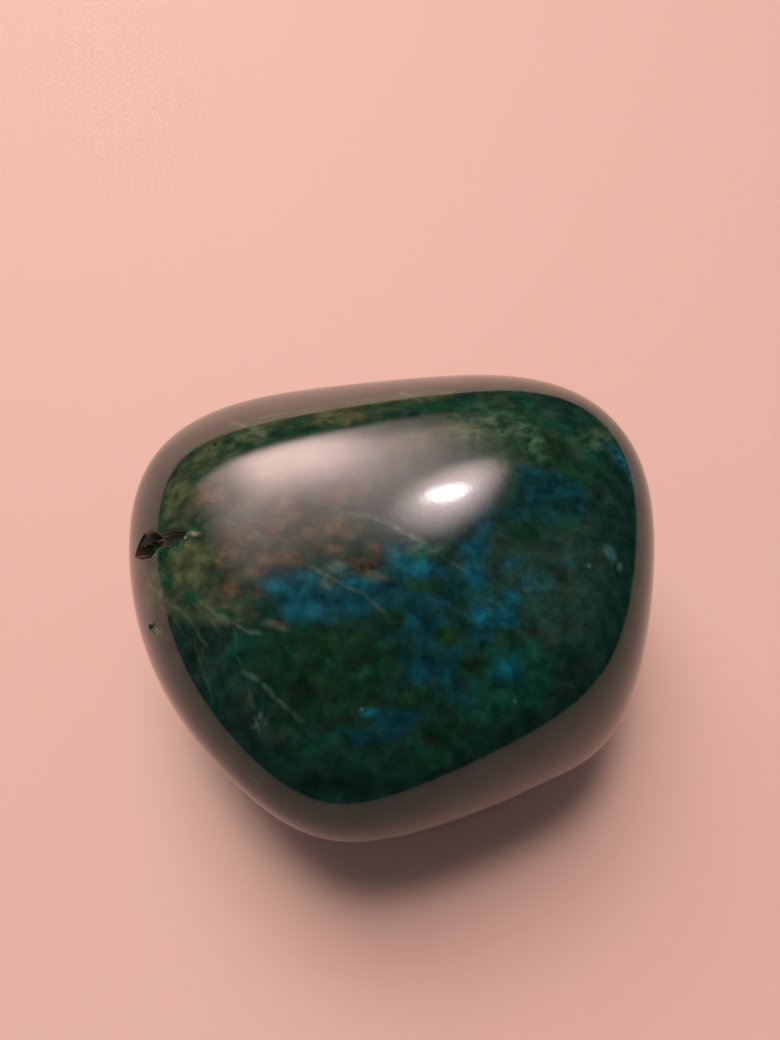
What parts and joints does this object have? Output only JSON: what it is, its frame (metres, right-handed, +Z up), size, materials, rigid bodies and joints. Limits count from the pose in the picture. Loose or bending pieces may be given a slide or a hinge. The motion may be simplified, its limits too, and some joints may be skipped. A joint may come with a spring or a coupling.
{
  "type": "chrysocolla specimen",
  "caption": "Tumbled and polished chrysocolla stone, rounded and slightly flattened, that lies loose on its flattest side; a display, palm or study stone.",
  "frame": {"origin": "middle of the box's footprint, on the plane that the stone rests on", "axes": "+X to the stone's right with its broad top seen from the front, along its longest side; +Y to its back; +Z up, through its thickness"},
  "size_m": [0.05, 0.047, 0.0289],
  "materials": {
    "chrysocolla": "polished"
  },
  "bodies": {
    "root": {"chrysocolla_stone": "chrysocolla"}
  },
  "joints": []
}
